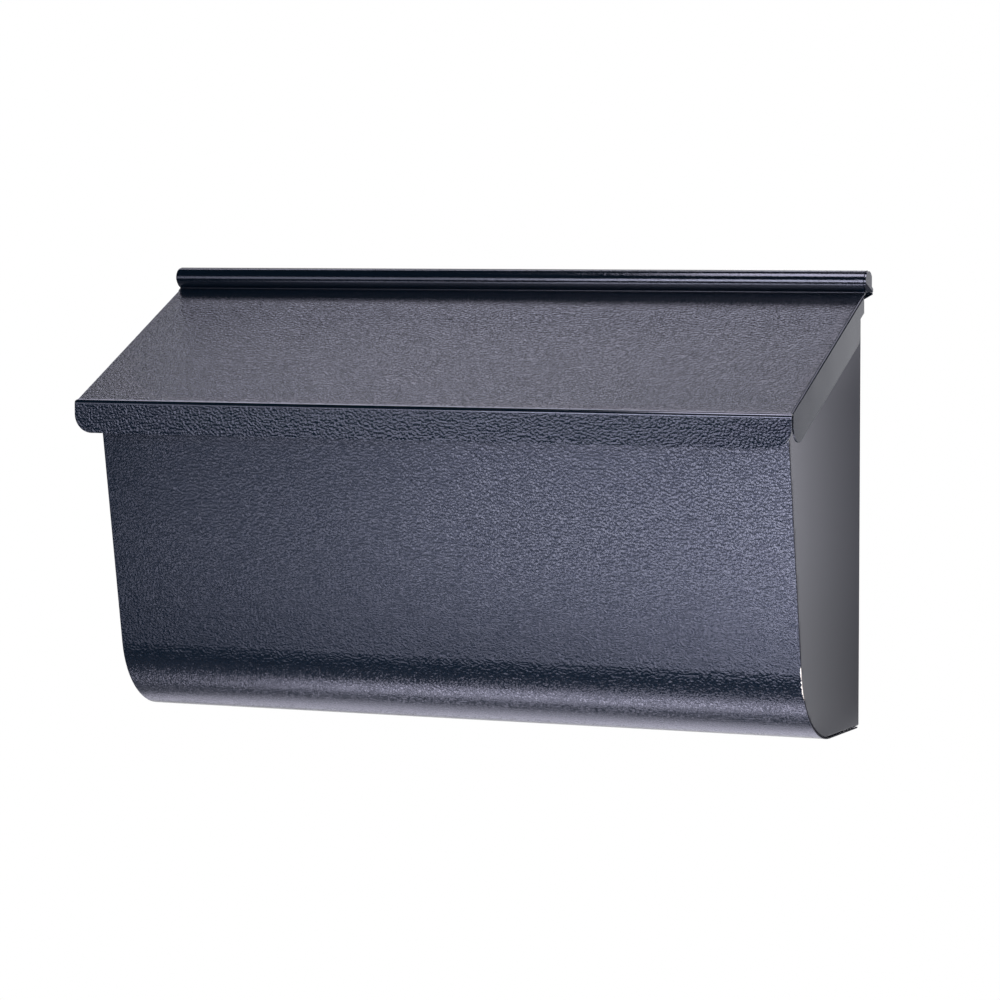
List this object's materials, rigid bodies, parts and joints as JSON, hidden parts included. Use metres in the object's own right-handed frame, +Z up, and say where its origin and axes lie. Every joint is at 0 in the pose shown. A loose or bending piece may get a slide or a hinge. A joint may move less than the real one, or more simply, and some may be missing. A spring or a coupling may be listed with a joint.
{
  "type": "wall mounted mailbox",
  "caption": "Wall mounted sheet steel mailbox with a sloping lid that swings up on a rolled hinge along the wall, and a body with a round lower front corner.",
  "frame": {"origin": "centre of the four wall screw holes, on the face that lies against the wall", "axes": "+X to the right of someone facing the mailbox, +Y into the wall, +Z up; the front faces -Y"},
  "size_m": [0.4016, 0.1276, 0.2383],
  "materials": {
    "grained_black_paint": "black paint over steel embossed with a fine leather grain, satin",
    "smooth_black_paint": "black paint over smooth steel, satin"
  },
  "bodies": {
    "box": {"back_panel": "grained_black_paint", "front_wrap": "grained_black_paint", "left_end_panel": "smooth_black_paint", "right_end_panel": "smooth_black_paint"},
    "cover": {"lid": "grained_black_paint"}
  },
  "joints": [
    {"name": "lid_hinge", "type": "hinge", "parent": "box", "child": "cover", "pos_m": [0, -0.0089, 0.1124], "axis": [-1, 0, 0], "range_deg": [0, 76]}
  ]
}
